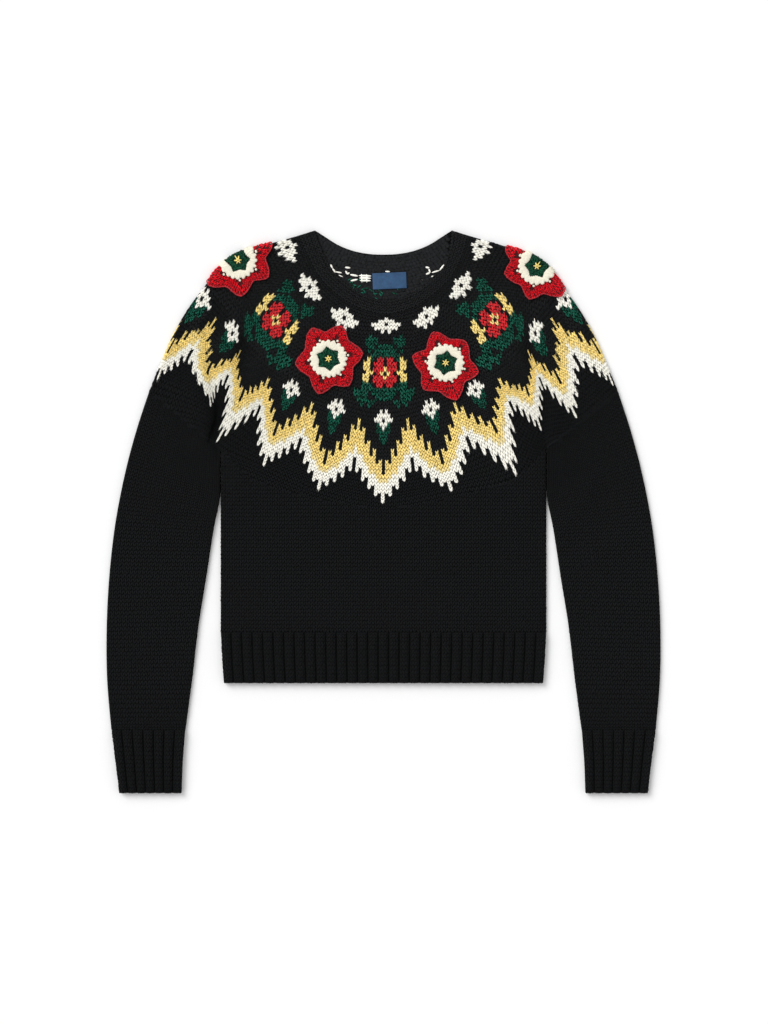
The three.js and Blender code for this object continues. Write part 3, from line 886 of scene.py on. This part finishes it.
def ribbed_band(name, levels, ribs, folds):
    """A ribbed tube with its knit columns of stitches."""
    place = band_place(levels, ribs, folds)
    under = band_place(levels, ribs, folds, front=False)
    length = levels[0][0][1] - levels[-1][0][1]
    rows = round(length / RIB_ROW)
    centres = [rib + 0.5 + step for rib in range(ribs) for step in RIB_STEPS]
    rib, down = np.meshgrid(centres, (np.arange(rows) + 0.5) / rows)
    places = (rib.ravel(), down.ravel())
    stitches = knit(f"{name}_stitches", place, *places, RIB_STITCH, 1 / rows, YARNS["b"])

    def ground_front(across, down):
        return sunk(place(across * ribs, down), FRONT_INSET)

    def ground_back(across, down):
        return sunk(under((1 - across) * ribs, down), BACK_INSET)

    made = bmesh.new()
    add_layer(made, ribs * FRONT_RIB_COLUMNS, rows, ground_front)
    add_layer(made, ribs * BACK_RIB_COLUMNS, rows, ground_back)
    tube = cloth(f"{name}_cloth", made)
    for piece in (tube, stitches):
        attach(piece, "root")
    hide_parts(name)


hem_folds = [[(212, -150), (212, -157), (208, -225)]]
cuff_folds = [[(354.5, -280), (349, -325), (344, -368)], [(262.5, -368), (261, -325), (257.5, -280)]]
ribbed_band("hem_rib", HEM_LEVELS, HEM_RIBS, hem_folds)
ribbed_band("cuff_left", mirrored(CUFF_LEVELS), CUFF_RIBS, cuff_folds)
ribbed_band("cuff_right", CUFF_LEVELS, CUFF_RIBS, cuff_folds)

# Neckband: a narrow band of single ribs in black cotton, picked up round the neck and bound off.
# Its edge is given for the front, left and right, and for the back, which lies higher.
NECK_EDGE_LEFT = [(4, 275), (-22, 280.5), (-46, 294.5), (-66, 314), (-80, 341), (-89, 366)]
NECK_EDGE_RIGHT = [(4, 275), (30, 280.5), (54, 294), (74, 313), (85, 339), (89, 366)]
NECK_EDGE_FRONT = NECK_EDGE_LEFT[:0:-1] + NECK_EDGE_RIGHT
NECK_EDGE_BACK = [(0, 334.5), (20, 335.5), (40, 339.5), (59, 347), (76, 357.5), (89, 366)]
NECK_RIBS = 34
NECK_RIB_HEIGHT = 0.8
NECK_STITCH = 0.52
NECK_ROWS = 5
neck_folds = [[(80, 368.8), (89, 366), (110, 359.5)]]


def both_sides(half):
    """A line of the right half, as one from the left fold to the right."""
    return [(-x, y) for x, y in half[:0:-1]] + half


def neck_plan(spoke, up, seam, edge):
    """The plan of the band at a spoke, and by its share up from its seam to its free edge."""
    low, high = (through(points, spoke + FOLD_SPOKE) for points in (seam, edge))
    point = low + (high - low) * up[:, None]
    return point[:, 0], point[:, 1]


def neck_front(rib, row):
    """Counted in ribs from the left fold, and in rows from the free edge."""
    spoke = (2 * rib / NECK_RIBS - 1) * FOLD_SPOKE
    plan = neck_plan(spoke, 1 - row / NECK_ROWS, YOKE_PLAN[0], NECK_EDGE_FRONT)
    points, outward = lay(*plan, neck_folds)
    raised = NECK_RIB_HEIGHT * (1 - np.cos(2 * np.pi * rib)) / 2
    return points + outward * raised[:, None], outward


def neck_ground_front(across, down):
    return sunk(neck_front(across * NECK_RIBS, down * NECK_ROWS), FRONT_INSET)


def neck_ground_back(across, down):
    spoke = (1 - 2 * across) * FOLD_SPOKE
    plan = neck_plan(spoke, 1 - down, both_sides(YOKE_BACK_NECK), both_sides(NECK_EDGE_BACK))
    return sunk(lay(*plan, neck_folds, front=False), BACK_INSET)


rib, row = np.meshgrid(np.arange(2 * NECK_RIBS) / 2 + 0.25, np.arange(NECK_ROWS) + 0.5)
# The neckband's black is the same black cotton made lighter still, as painted light
neck_black = yarn("black_cotton_neck", srgb(37, 38, 39), 0.2, 0.0, 0.06)
places = (rib.ravel(), row.ravel())
neck_stitches = knit("neckband_stitches", neck_front, *places, NECK_STITCH, 1.0, neck_black, full=1.2)
made = bmesh.new()
add_layer(made, NECK_RIBS * 6, NECK_ROWS, neck_ground_front)
add_layer(made, NECK_RIBS * 3, NECK_ROWS, neck_ground_back)
neckband = cloth("neckband_cloth", made)
for piece in (neckband, neck_stitches):
    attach(piece, "root")
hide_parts("neckband")

# Crocheted flowers: four, sewn flat on the yoke, the outer two over the shoulder folds. Each is cotton:
# a red star with six eyelets round a puffed cream ring, a green star in it and a gold eye. The outline is
# given by its points and the hollows between them, as angles in degrees and millimetres from the eye.
FLOWERS = [
    (
        "flower_front_left", (-71.5, 198.3), 38.6,
        [(-171.5, 44), (-105.7, 48), (-52, 44.5), (9.7, 46), (68, 47), (118.7, 46)],
        [(-137.3, 34.5), (-78.5, 35.8), (-19.8, 34.6), (42, 36), (97, 36), (159.4, 33.3)],
    ),
    (
        "flower_front_right", (80.6, 192.9), 21.5,
        [(-130.3, 45.2), (-73.7, 50.8), (-15.8, 45.2), (46.4, 38.8), (110.9, 43.8), (168.2, 44.5)],
        [(-104.7, 38.4), (-45, 35.9), (10.4, 32.4), (79.6, 32.4), (145, 31.7), (203.2, 34.7)],
    ),
    (
        "flower_shoulder_left", (-188.8, 326), 8,
        [(-139.7, 50.8), (-85.7, 47.3), (-28.4, 45.5), (25.7, 50), (88, 46), (160, 46)],
        [(-113.8, 38.1), (-53, 33.9), (4.5, 36.1), (58, 37), (124, 36), (190, 37)],
    ),
    (
        "flower_shoulder_right", (199.2, 318.5), 56,
        [(-166.7, 43.5), (-103.1, 44.4), (-49.9, 51), (20, 46), (85, 46), (150.1, 48.2)],
        [(-129.7, 33), (-77.3, 37.3), (-15, 37), (52, 36), (117, 37), (168.4, 35.5)],
    ),
]
STAR_POINTS = 6
RING_OUTER = 24
RING_SCALLOP = 0.9
SCALLOPS = 20
RING_STRANDS = 60
GREEN_TIP = 16.6
GREEN_HOLLOW = 12.3
GREEN_STRANDS = 30
# A round of red stitches is its share of the way out to the edge, its count and its lift
RED_ROUNDS = [(0.08, 60, 3.3), (0.3, 64, 3.8), (0.52, 70, 3.9), (0.74, 76, 3.4), (0.92, 82, 2.7)]
RED_STITCH_SHARE = 0.21
RED_MARGIN = 2
EYELET_REACH = 31
EYELET_HALF = math.radians(6.5)
EDGE_STITCHES = 96
EDGE_INSET = 1.0
EDGE_HALF_WIDTH = 0.95
EDGE_LIFT = 2.4
EDGE_THICK = 0.9
# A layer of green strands is where it starts, its share of the way out to the points, and its lift
GREEN_LAYERS = [("inner", 3.0, 0.72, 4.0), ("outer", 7.0, 1.0, 4.3)]
# Half widths of the strands as angles, their millimetres over the distance from the eye
RING_HALF_ANGLE = 1.5 / 18
SCALLOP_HALF_ANGLE = 2.3 / 23
BOBBLE_HALF_ANGLE = 1.8 / 26
GREEN_HALF_ANGLE = 1.35 / 11
EYE_HALF_WIDTH = 1.1
EYE_HALF_LENGTH = 5.04
# The part that turns under a shoulder, whatever is lower than this, is pressed flat by this share
UNDER_TOP = 2.0
UNDER_SQUASH = 0.23
FLOWER_GROUND_LIFT = 2.0
FLOWER_WALL = 1.2
RED_CROCHET = yarn("red_crochet", srgb(228, 18, 36), 0.5, 0.03, 0.15, grain=640)
RED_EDGE = yarn("red_edge", srgb(186, 34, 46), 0.4, grain=640)
GREEN_CROCHET = yarn("green_crochet", srgb(20, 64, 46), 0.9, 0.0, 0.1, grain=640)
CREAM_CROCHET = yarn("cream_crochet", srgb(238, 233, 214), 0.06)
# Painted shade: the flower's ground is a dark red that stands for the shade between and under the stitches
RED_SHADED = yarn("red_cotton_shaded", srgb(66, 5, 10), 0.2)
GOLD_EYE = yarn("gold_eye", srgb(244, 220, 128), 0.1)
BROWN_EYE = yarn("brown_eye", srgb(150, 96, 36), 0.1)
ROUND_STRAND = strand(6, 5)


def blunt(shape):
    """The same spindle with fuller ends."""
    points, faces = shape
    full = np.maximum(1 - points[:, 2] ** 2, 1e-6) ** -0.25
    return points * np.stack([full, full, np.ones(len(points))], axis=1), faces


BLUNT_STRAND = blunt(ROUND_STRAND)


def strands(
    name, place, across, down, half_width, half_length, thick, lift, material, shape=FINE_STRAND, turn=0.0
):
    """Single strands on the cloth that `place` knows. Widths are in its units across, and `turn`
    slants them."""
    points, faces = shape
    count = len(across)
    half_width, half_length, thick, lift, turn = (
        np.broadcast_to(value, count)[:, None] for value in (half_width, half_length, thick, lift, turn)
    )
    aside, out, along = points.T
    columns = across[:, None] + half_width * aside + turn * along
    rows = down[:, None] - half_length * along
    surface, outward = place(columns.ravel(), rows.ravel())
    rise = lift - thick * out
    return joined(name, (surface + outward * rise.reshape(-1, 1)).reshape(count, -1, 3), faces, material)


def star(angle, tips, hollows, sharpness=1.2, roundness=0.5):
    """How far a star reaches in a direction, from its points and the hollows between them."""
    corners = [(turn % 360, reach, True) for turn, reach in tips]
    corners += [(turn % 360, reach, False) for turn, reach in hollows]
    corners.sort()
    corners = [(corners[-1][0] - 360, *corners[-1][1:]), *corners, (corners[0][0] + 360, *corners[0][1:])]
    turns = np.radians([corner[0] for corner in corners])
    reaches = np.array([corner[1] for corner in corners])
    pointed = np.array([corner[2] for corner in corners])
    angle = np.mod(angle, 2 * math.pi)
    first = np.clip(np.searchsorted(turns, angle, side="right") - 1, 0, len(turns) - 2)
    share = (angle - turns[first]) / (turns[first + 1] - turns[first])
    from_tip = np.where(pointed[first], share, 1 - share)
    tip = np.where(pointed[first], reaches[first], reaches[first + 1])
    hollow = np.where(pointed[first], reaches[first + 1], reaches[first])
    fall = (1 - roundness) * (1 - from_tip) ** sharpness + roundness * (1 + np.cos(math.pi * from_tip)) / 2
    return hollow + (tip - hollow) * fall


def round_angles(count, wander=0.0):
    """Angles evenly round a flower, each a little out of place."""
    return (np.arange(count) + 0.5) * 2 * math.pi / count + chance.normal(0, 1, count) * wander


def flower(name, centre, green_turn, tips, hollows):
    """A crocheted flower, from its red star inwards."""
    tip_angles = np.radians([turn for turn, _ in tips])

    def place(angle, radius):
        return lay(centre[0] + radius * np.cos(angle), centre[1] + radius * np.sin(angle), shoulder)

    def reach(angle):
        return star(angle, tips, hollows)

    def green_reach(angle):
        points = [(green_turn + 60 * k, GREEN_TIP) for k in range(STAR_POINTS)]
        between = [(green_turn + 60 * k + 30, GREEN_HOLLOW) for k in range(STAR_POINTS)]
        return star(angle, points, between, 1.7, 0.0)

    # Red rounds, with an eyelet at the foot of each point
    pieces = []
    for share, count, up in RED_ROUNDS:
        angle = round_angles(count, 0.012)
        radius = RING_OUTER + (reach(angle) - RED_MARGIN - RING_OUTER) * share
        away = np.abs(np.mod(angle[:, None] - tip_angles + math.pi, 2 * math.pi) - math.pi).min(axis=1)
        kept = (radius > EYELET_REACH) | (away > EYELET_HALF)
        height = (reach(angle[kept]) - RING_OUTER) * RED_STITCH_SHARE
        pieces.append(
            knit(
                f"{name}_red_round_{round(share * 100)}", place, angle[kept], radius[kept],
                2 * math.pi / count * 1.02, height, RED_CROCHET, lift=up, full=0.95,
            )
        )

    # The chained edge
    points, faces = FINE_STRAND
    aside, out, along = points.T
    angle = round_angles(EDGE_STITCHES, 0.008)
    turned = (angle[:, None] + 2 * math.pi / EDGE_STITCHES * 0.7 * along).ravel()
    uneven = np.repeat(chance.normal(0, 0.2, EDGE_STITCHES), len(aside))
    inset = EDGE_INSET + EDGE_HALF_WIDTH * np.tile(aside, EDGE_STITCHES) + uneven
    surface, outward = place(turned, reach(turned) - inset)
    rise = EDGE_LIFT - EDGE_THICK * np.tile(out, EDGE_STITCHES)
    copies = (surface + outward * rise[:, None]).reshape(EDGE_STITCHES, -1, 3)
    pieces.append(joined(f"{name}_edge", copies, faces, RED_EDGE))

    # Cream ring of radial strands, scalloped outside and lobed inside, with a bobble in each eyelet
    angle = round_angles(RING_STRANDS)
    inner = green_reach(angle) - 0.6
    outer = RING_OUTER + RING_SCALLOP * np.cos(SCALLOPS * angle) + chance.normal(0, 0.2, angle.size)
    pieces.append(
        strands(
            f"{name}_cream_ring", place, angle, (inner + outer) / 2, RING_HALF_ANGLE, (outer - inner) / 2,
            1.5, 4.3, CREAM_CROCHET, BLUNT_STRAND, turn=chance.normal(0, 0.015, angle.size),
        )
    )
    angle = 2 * math.pi * np.arange(SCALLOPS) / SCALLOPS + chance.normal(0, 0.02, SCALLOPS)
    pieces.append(
        strands(
            f"{name}_cream_scallops", place, angle, np.full(SCALLOPS, RING_OUTER - 1.2),
            SCALLOP_HALF_ANGLE, 2.2, 1.6, 4.1, CREAM_CROCHET, ROUND_STRAND,
        )
    )
    pieces.append(
        strands(
            f"{name}_cream_bobbles", place, tip_angles + chance.normal(0, 0.05, len(tips)),
            np.full(len(tips), RING_OUTER + 1.9), BOBBLE_HALF_ANGLE, 1.6, 1.5, 3.4,
            CREAM_CROCHET, ROUND_STRAND,
        )
    )

    # Green star of radial strands
    angle = round_angles(GREEN_STRANDS)
    outer = green_reach(angle)
    for part, start, share, up in GREEN_LAYERS:
        end = start + (outer - start) * share
        turned = angle + chance.normal(0, 0.03, angle.size)
        pieces.append(
            strands(
                f"{name}_green_{part}", place, turned, (start + end) / 2, GREEN_HALF_ANGLE,
                (end - start) / 2 + 0.6, 1.0, up, GREEN_CROCHET, turn=0.07,
            )
        )

    # Gold eye: three strands that cross, with a brown knot
    middle = np.zeros(1)
    for part in range(3):
        turn = math.radians(green_turn + 60 * part)

        def across_eye(aside, along):
            x = centre[0] + along * math.cos(turn) - aside * math.sin(turn)
            y = centre[1] + along * math.sin(turn) + aside * math.cos(turn)
            return lay(x, y, shoulder)

        pieces.append(
            strands(
                f"{name}_eye_{part}", across_eye, middle, middle, EYE_HALF_WIDTH, EYE_HALF_LENGTH,
                0.9, 5.2, GOLD_EYE, ROUND_STRAND,
            )
        )
    knot = (1.0, 1.0, 0.8, 5.7)
    pieces.append(strands(f"{name}_eye_knot", across_eye, middle, middle, *knot, BROWN_EYE, ROUND_STRAND))

    # The ground that the rounds are worked on, a dark red of painted shade that shows in the eyelets and
    # under the centre
    made = bmesh.new()

    def ground(across, down):
        angle = 2 * math.pi * across
        return sunk(place(angle, np.maximum(down, 0.01) * (reach(angle) - RED_MARGIN)), -FLOWER_GROUND_LIFT)

    add_layer(made, 72, 6, ground)
    bmesh.ops.remove_doubles(made, verts=made.verts, dist=0.02 * MM)
    bmesh.ops.recalc_face_normals(made, faces=made.faces)
    base = as_object(f"{name}_ground", made, RED_SHADED)
    thicken(base, FLOWER_WALL)
    for piece in [base, *pieces]:
        for vertex in piece.data.vertices:
            under = UNDER_TOP * MM - vertex.co.z
            if under > 0:
                vertex.co.z = (UNDER_TOP - UNDER_SQUASH * under / MM) * MM
        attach(piece, "root")
    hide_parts(name)


for flower_facts in FLOWERS:
    flower(*flower_facts)

# Neck label: a small plain woven ribbon in blue, sewn down at both ends inside the back of the neck.
# It bows up a little between its ends, most at its lower edge.
LABEL_CENTRE = (7.8, 300.2)
LABEL_SIZE = (44, 21)
LABEL_TILT = math.radians(2.5)
LABEL_HEIGHT = 5.0
LABEL_RISE = 0.9
LABEL_TOP_SHARE = 0.6
LABEL_WALL = 0.7
LABEL_EDGE = 0.15
ribbon, nodes, links, shader = new_material("woven_ribbon", Roughness=0.55, Specular_IOR_Level=0.3)
place = nodes.new("ShaderNodeTexCoord")
tone = fill_in(nodes.new("ShaderNodeTexNoise"), Scale=160, Detail=4)
mix = nodes.new("ShaderNodeMix")
mix.data_type = "RGBA"
mix.inputs[6].default_value = srgb(26, 52, 84)
mix.inputs[7].default_value = srgb(54, 94, 134)
weave = fill_in(nodes.new("ShaderNodeTexWave"), Scale=420, Distortion=0.6)
weave.bands_direction = "Y"
bump = fill_in(nodes.new("ShaderNodeBump"), Strength=0.4, Distance=0.2 * MM)
links.new(place.outputs["Object"], tone.inputs["Vector"])
links.new(place.outputs["Object"], weave.inputs["Vector"])
links.new(tone.outputs["Fac"], mix.inputs["Factor"])
links.new(mix.outputs[2], shader.inputs["Base Color"])
links.new(weave.outputs["Fac"], bump.inputs["Height"])
links.new(bump.outputs["Normal"], shader.inputs["Normal"])


def label_place(across, down):
    """The ribbon's upper face."""
    x = (across - 0.5) * LABEL_SIZE[0]
    y = (0.5 - down) * LABEL_SIZE[1]
    rise = LABEL_RISE * (LABEL_TOP_SHARE + (1 - LABEL_TOP_SHARE) * down)
    bow = LABEL_HEIGHT + rise * np.sin(np.clip(across, 0, 1) * math.pi) ** 0.8
    turned_x = x * math.cos(LABEL_TILT) - y * math.sin(LABEL_TILT) + LABEL_CENTRE[0]
    turned_y = x * math.sin(LABEL_TILT) + y * math.cos(LABEL_TILT) + LABEL_CENTRE[1]
    return np.stack([turned_x, turned_y, bow], axis=1)


made = bmesh.new()
add_layer(made, 28, 14, label_place)
label = as_object("neck_label_ribbon", made, ribbon)
thicken(label, LABEL_WALL)
bevel = label.modifiers.new("edge", "BEVEL")
bevel.width = LABEL_EDGE * MM
bevel.segments = 2

# Inside of the neck: the purl side of the back, its rows of small bumps in black cotton, and the loose
# strands of cream and green that are carried behind the back's motifs. A cream strand is its two ends,
# measured on the photograph, and its half width. The green ones lie by chance in a patch.
INSIDE_TOP = 3.0
PURL_ROWS = 16
PURL_ROW = 4.4
PURL_STEP = 4.3
PURL_HALF_HEIGHT = 2.9
PURL_THICK = 0.7
PURL_LIFT = 0.5
PURL_MARGIN = 3
INSIDE_REACH = 86
CREAM_FLOATS = [
    ((-68.8, 321.4), (-66.4, 315.8), 1.6), ((-66.4, 316.3), (-62.5, 310.4), 1.6),
    ((-63.1, 311.9), (-54, 310.3), 1.2), ((-58.4, 307.7), (-52.6, 305.1), 0.8),
    ((-50.1, 317.6), (-43, 316.8), 1.6), ((-49.3, 313.2), (-46.9, 308.2), 1.5),
    ((-47.5, 308.5), (-44.1, 310.8), 1.3), ((-43.6, 308.2), (-32.9, 306.2), 1.7),
    ((-43, 299.9), (-33.4, 302), 1.6), ((-32.4, 306.9), (-15.5, 306.3), 1.7),
    ((-31.9, 303.7), (-15.7, 303.3), 1.8), ((-31.1, 300.4), (-16.2, 300.2), 1.6),
    ((-28.7, 309.3), (-27.9, 297.8), 1.4), ((-22, 308.8), (-21.6, 297.6), 1.3),
    ((2, 312.3), (8.5, 311.9), 1.3), ((54.5, 317.9), (59.9, 316.8), 1.6),
    ((58.9, 315.8), (61, 310.3), 1.4), ((60.5, 310.6), (55.2, 308.5), 1.6),
    ((62.5, 310.6), (73.2, 313.7), 1.3), ((72.9, 313.4), (79.4, 321.5), 1.7),
    ((62, 305.1), (65.1, 306.7), 0.9),
]
CREAM_LIFT = 2.0
FLOAT_THICKNESS = 0.9
GREEN_FLOATS = 46
GREEN_PATCH = [(-51.4, 302.2), (18.9, 278.9)]
GREEN_LENGTHS = (4, 9)
GREEN_SLANT = 1.3
GREEN_THICKNESS = 0.75
GREEN_LIFT = 1.6


def inside_face(x, y):
    """The upward face of the back layer."""
    points = np.stack([x, y, np.full(x.shape, INSIDE_TOP)], axis=1)
    return points, np.tile([0.0, 0.0, 1.0], (x.size, 1))


def laid_between(name, ends, thickness, lift, material):
    """Strands from point to point on the inside of the back, in millimetres."""
    start, end = ends[:, 0], ends[:, 1]
    along = end - start
    length = np.hypot(along[:, 0], along[:, 1])[:, None]
    direction = along / length
    points, faces = ROUND_STRAND
    middle = (start + end) / 2
    reach = points[None, :, 2, None] * (length / 2)[:, None] * direction[:, None, :]
    side = np.stack([direction[:, 1], -direction[:, 0]], axis=1)
    width = points[None, :, 0, None] * thickness[:, None, None] * side[:, None, :]
    flat = middle[:, None, :] + reach + width
    height = INSIDE_TOP + lift - points[None, :, 1] * thickness[:, None] * 0.9
    return joined(name, np.concatenate([flat, height[..., None]], axis=2), faces, material)


float_ends = np.array([[start, end] for start, end, _ in CREAM_FLOATS])
float_sizes = np.array([size * FLOAT_THICKNESS for _, _, size in CREAM_FLOATS])
cream_floats = laid_between("cream_floats", float_ends, float_sizes, CREAM_LIFT, YARNS["w"])
(left, top), (right, bottom) = GREEN_PATCH
start_x = chance.uniform(left, right, GREEN_FLOATS)
start_y = chance.uniform(bottom, top, GREEN_FLOATS)
slants = chance.uniform(-GREEN_SLANT, GREEN_SLANT, GREEN_FLOATS)
lengths = chance.uniform(*GREEN_LENGTHS, GREEN_FLOATS)
starts = np.stack([start_x, start_y], axis=1)
ends = starts + lengths[:, None] * np.stack([np.cos(slants), np.sin(slants)], axis=1)
green_sizes = np.full(GREEN_FLOATS, GREEN_THICKNESS)
green_ends = np.stack([starts, ends], axis=1)
green_floats = laid_between("green_floats", green_ends, green_sizes, GREEN_LIFT, YARNS["g"])
purl = []
opening_x, opening_y = np.array(NECK_EDGE_FRONT).T
back_x, back_y = np.array(both_sides(NECK_EDGE_BACK)).T
for row in range(PURL_ROWS):
    for x in np.arange(-INSIDE_REACH, INSIDE_REACH, PURL_STEP) + (row % 2) * PURL_STEP / 2:
        y = np.interp(x, back_x, back_y) - (row + 1) * PURL_ROW
        if y > np.interp(x, opening_x, opening_y) - PURL_MARGIN:
            purl.append((x, y))
purl = np.array(purl)
purl += chance.normal(0, 0.4, purl.shape)
purl_bumps = strands(
    "purl_bumps", inside_face, *purl.T, PURL_STEP * 0.85, PURL_HALF_HEIGHT, PURL_THICK,
    PURL_LIFT + chance.normal(0, 0.12, len(purl)), YARNS["."], ROUND_STRAND,
)
for piece in (label, cream_floats, green_floats, purl_bumps):
    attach(piece, "root")
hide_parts("neck_label")
